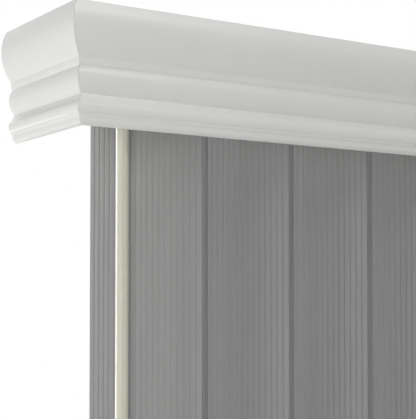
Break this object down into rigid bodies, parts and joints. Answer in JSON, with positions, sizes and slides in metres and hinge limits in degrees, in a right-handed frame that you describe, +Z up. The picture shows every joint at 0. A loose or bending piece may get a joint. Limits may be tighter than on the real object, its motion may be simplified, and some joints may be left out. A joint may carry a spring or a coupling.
{
  "type": "vertical blind",
  "caption": "Wall-mounted vertical blind: curved ribbed vanes on a headrail behind a moulded valance with side returns; a wand slides the vanes along and turns them.",
  "frame": {"origin": "centre of the four wall screw holes, on the wall plane", "axes": "+X to the right seen from the room, +Y into the wall, +Z up"},
  "size_m": [0.6974, 0.1169, 0.851],
  "materials": {
    "white_steel": "powder coated satin",
    "white_pvc": "smooth satin PVC moulding",
    "grey_pvc": "ribbed satin PVC",
    "nylon": "moulded nylon",
    "steel": "zinc plated",
    "rod_alu": "mill finish",
    "ivory": "gloss ivory plastic",
    "acetal": "moulded acetal"
  },
  "bodies": {
    "fixed": {"headrail": "white_steel", "end_cap_left": "nylon", "end_cap_right": "nylon", "valance_front": "white_pvc", "valance_return_left": "white_pvc", "valance_return_right": "white_pvc", "valance_corner_keys": "white_pvc", "valance_clips": "steel", "wall_brackets": "steel", "rail_clips": "steel", "bracket_bolts": "steel", "carrier_8": "nylon", "spacer_7": "steel"},
    "lead": {"carrier_1": "nylon", "lead_carrier": "nylon", "gear_case_cover": "nylon"},
    "carrier_body_2": {"carrier_2": "nylon", "spacer_1": "steel"},
    "carrier_body_3": {"carrier_3": "nylon", "spacer_2": "steel"},
    "carrier_body_4": {"carrier_4": "nylon", "spacer_3": "steel"},
    "carrier_body_5": {"carrier_5": "nylon", "spacer_4": "steel"},
    "carrier_body_6": {"carrier_6": "nylon", "spacer_5": "steel"},
    "carrier_body_7": {"carrier_7": "nylon", "spacer_6": "steel"},
    "vane_body_1": {"stem_1": "nylon", "vane_1": "grey_pvc"},
    "vane_body_2": {"stem_2": "nylon", "vane_2": "grey_pvc"},
    "vane_body_3": {"stem_3": "nylon", "vane_3": "grey_pvc"},
    "vane_body_4": {"stem_4": "nylon", "vane_4": "grey_pvc"},
    "vane_body_5": {"stem_5": "nylon", "vane_5": "grey_pvc"},
    "vane_body_6": {"stem_6": "nylon", "vane_6": "grey_pvc"},
    "vane_body_7": {"stem_7": "nylon", "vane_7": "grey_pvc"},
    "vane_body_8": {"stem_8": "nylon", "vane_8": "grey_pvc"},
    "worm_body_1": {"worm_1": "acetal"},
    "worm_body_2": {"worm_2": "acetal"},
    "worm_body_3": {"worm_3": "acetal"},
    "worm_body_4": {"worm_4": "acetal"},
    "worm_body_5": {"worm_5": "acetal"},
    "worm_body_6": {"worm_6": "acetal"},
    "worm_body_7": {"worm_7": "acetal"},
    "worm_body_8": {"worm_8": "acetal"},
    "rod": {"tilt_rod": "rod_alu"},
    "pinion": {"drive_pinion": "acetal"},
    "drive": {"drive_shaft": "acetal"},
    "idler": {"idler_gear": "acetal"},
    "spindle": {"wand_spindle": "ivory"},
    "socket": {"wand_socket": "ivory"},
    "wand": {"wand_shaft": "ivory", "wand_grip": "ivory"}
  },
  "joints": [
    {"name": "traverse", "type": "slide", "parent": "fixed", "child": "lead", "axis": [1, 0, 0], "range_m": [0, 0.399]},
    {"name": "carrier_2_glide", "type": "slide", "parent": "fixed", "child": "carrier_body_2", "axis": [1, 0, 0], "range_m": [0, 0.3422]},
    {"name": "carrier_3_glide", "type": "slide", "parent": "fixed", "child": "carrier_body_3", "axis": [1, 0, 0], "range_m": [0, 0.2852]},
    {"name": "carrier_4_glide", "type": "slide", "parent": "fixed", "child": "carrier_body_4", "axis": [1, 0, 0], "range_m": [0, 0.2282]},
    {"name": "carrier_5_glide", "type": "slide", "parent": "fixed", "child": "carrier_body_5", "axis": [1, 0, 0], "range_m": [0, 0.1712]},
    {"name": "carrier_6_glide", "type": "slide", "parent": "fixed", "child": "carrier_body_6", "axis": [1, 0, 0], "range_m": [0, 0.1142]},
    {"name": "carrier_7_glide", "type": "slide", "parent": "fixed", "child": "carrier_body_7", "axis": [1, 0, 0], "range_m": [0, 0.0572]},
    {"name": "vane_1_tilt", "type": "hinge", "parent": "lead", "child": "vane_body_1", "pos_m": [-0.2625, -0.053, 0], "axis": [0, 0, 1], "range_deg": [-103.3, 32.7]},
    {"name": "vane_2_tilt", "type": "hinge", "parent": "carrier_body_2", "child": "vane_body_2", "pos_m": [-0.1875, -0.053, 0], "axis": [0, 0, 1], "range_deg": [-103.8, 33.2]},
    {"name": "vane_3_tilt", "type": "hinge", "parent": "carrier_body_3", "child": "vane_body_3", "pos_m": [-0.1125, -0.053, 0], "axis": [0, 0, 1], "range_deg": [-103.8, 33.2]},
    {"name": "vane_4_tilt", "type": "hinge", "parent": "carrier_body_4", "child": "vane_body_4", "pos_m": [-0.0375, -0.053, 0], "axis": [0, 0, 1], "range_deg": [-103.8, 33.2]},
    {"name": "vane_5_tilt", "type": "hinge", "parent": "carrier_body_5", "child": "vane_body_5", "pos_m": [0.0375, -0.053, 0], "axis": [0, 0, 1], "range_deg": [-103.8, 33.2]},
    {"name": "vane_6_tilt", "type": "hinge", "parent": "carrier_body_6", "child": "vane_body_6", "pos_m": [0.1125, -0.053, 0], "axis": [0, 0, 1], "range_deg": [-103.8, 33.2]},
    {"name": "vane_7_tilt", "type": "hinge", "parent": "carrier_body_7", "child": "vane_body_7", "pos_m": [0.1875, -0.053, 0], "axis": [0, 0, 1], "range_deg": [-103.8, 33.2]},
    {"name": "vane_8_tilt", "type": "hinge", "parent": "fixed", "child": "vane_body_8", "pos_m": [0.2625, -0.053, 0], "axis": [0, 0, 1], "range_deg": [-103.8, 33.2]},
    {"name": "worm_1_spin", "type": "hinge", "parent": "lead", "child": "worm_body_1", "pos_m": [-0.2625, -0.0425, 0.002], "axis": [1, 0, 0], "range_deg": [-1449.2, 460.8]},
    {"name": "worm_2_spin", "type": "hinge", "parent": "carrier_body_2", "child": "worm_body_2", "pos_m": [-0.1875, -0.0425, 0.002], "axis": [1, 0, 0], "range_deg": [-1449.2, 460.8]},
    {"name": "worm_3_spin", "type": "hinge", "parent": "carrier_body_3", "child": "worm_body_3", "pos_m": [-0.1125, -0.0425, 0.002], "axis": [1, 0, 0], "range_deg": [-1449.2, 460.8]},
    {"name": "worm_4_spin", "type": "hinge", "parent": "carrier_body_4", "child": "worm_body_4", "pos_m": [-0.0375, -0.0425, 0.002], "axis": [1, 0, 0], "range_deg": [-1449.2, 460.8]},
    {"name": "worm_5_spin", "type": "hinge", "parent": "carrier_body_5", "child": "worm_body_5", "pos_m": [0.0375, -0.0425, 0.002], "axis": [1, 0, 0], "range_deg": [-1449.2, 460.8]},
    {"name": "worm_6_spin", "type": "hinge", "parent": "carrier_body_6", "child": "worm_body_6", "pos_m": [0.1125, -0.0425, 0.002], "axis": [1, 0, 0], "range_deg": [-1449.2, 460.8]},
    {"name": "worm_7_spin", "type": "hinge", "parent": "carrier_body_7", "child": "worm_body_7", "pos_m": [0.1875, -0.0425, 0.002], "axis": [1, 0, 0], "range_deg": [-1449.2, 460.8]},
    {"name": "worm_8_spin", "type": "hinge", "parent": "fixed", "child": "worm_body_8", "pos_m": [0.2625, -0.0425, 0.002], "axis": [1, 0, 0], "range_deg": [-1449.2, 460.8]},
    {"name": "rod_spin", "type": "hinge", "parent": "fixed", "child": "rod", "pos_m": [0, -0.0425, 0.002], "axis": [1, 0, 0], "range_deg": [-1449.2, 460.8]},
    {"name": "pinion_spin", "type": "hinge", "parent": "lead", "child": "pinion", "pos_m": [-0.299, -0.0425, 0.002], "axis": [1, 0, 0], "range_deg": [-1449.2, 460.8]},
    {"name": "drive_spin", "type": "hinge", "parent": "lead", "child": "drive", "pos_m": [-0.299, -0.053, 0], "axis": [0, 0, 1], "range_deg": [-1449.2, 460.8]},
    {"name": "idler_spin", "type": "hinge", "parent": "lead", "child": "idler", "pos_m": [-0.299, -0.0716, 0], "axis": [0, 0, 1], "range_deg": [-292.1, 916.4]},
    {"name": "spindle_spin", "type": "hinge", "parent": "lead", "child": "spindle", "pos_m": [-0.299, -0.0902, 0], "axis": [0, 0, 1], "range_deg": [-1449.2, 460.8]},
    {"name": "wand_swing", "type": "hinge", "parent": "lead", "child": "socket", "pos_m": [-0.299, -0.0902, -0.0306], "axis": [-1, 0, 0], "range_deg": [0, 15]},
    {"name": "wand_spin", "type": "hinge", "parent": "socket", "child": "wand", "pos_m": [-0.299, -0.0902, -0.0306], "axis": [0, 0, 1], "range_deg": [-1449.2, 460.8]}
  ],
  "couplings": [
    {"joint": "carrier_2_glide", "follows": "traverse", "ratio": 0.85714},
    {"joint": "carrier_3_glide", "follows": "traverse", "ratio": 0.71429},
    {"joint": "carrier_4_glide", "follows": "traverse", "ratio": 0.57143},
    {"joint": "carrier_5_glide", "follows": "traverse", "ratio": 0.42857},
    {"joint": "carrier_6_glide", "follows": "traverse", "ratio": 0.28571},
    {"joint": "carrier_7_glide", "follows": "traverse", "ratio": 0.14286},
    {"joint": "vane_2_tilt", "follows": "vane_1_tilt", "ratio": 1},
    {"joint": "vane_3_tilt", "follows": "vane_1_tilt", "ratio": 1},
    {"joint": "vane_4_tilt", "follows": "vane_1_tilt", "ratio": 1},
    {"joint": "vane_5_tilt", "follows": "vane_1_tilt", "ratio": 1},
    {"joint": "vane_6_tilt", "follows": "vane_1_tilt", "ratio": 1},
    {"joint": "vane_7_tilt", "follows": "vane_1_tilt", "ratio": 1},
    {"joint": "vane_8_tilt", "follows": "vane_1_tilt", "ratio": 1},
    {"joint": "worm_1_spin", "follows": "vane_1_tilt", "ratio": 14},
    {"joint": "worm_2_spin", "follows": "vane_1_tilt", "ratio": 14},
    {"joint": "worm_3_spin", "follows": "vane_1_tilt", "ratio": 14},
    {"joint": "worm_4_spin", "follows": "vane_1_tilt", "ratio": 14},
    {"joint": "worm_5_spin", "follows": "vane_1_tilt", "ratio": 14},
    {"joint": "worm_6_spin", "follows": "vane_1_tilt", "ratio": 14},
    {"joint": "worm_7_spin", "follows": "vane_1_tilt", "ratio": 14},
    {"joint": "worm_8_spin", "follows": "vane_1_tilt", "ratio": 14},
    {"joint": "rod_spin", "follows": "vane_1_tilt", "ratio": 14},
    {"joint": "pinion_spin", "follows": "vane_1_tilt", "ratio": 14},
    {"joint": "drive_spin", "follows": "vane_1_tilt", "ratio": 14},
    {"joint": "idler_spin", "follows": "vane_1_tilt", "ratio": -8.8421},
    {"joint": "spindle_spin", "follows": "vane_1_tilt", "ratio": 14},
    {"joint": "wand_spin", "follows": "vane_1_tilt", "ratio": 14}
  ]
}
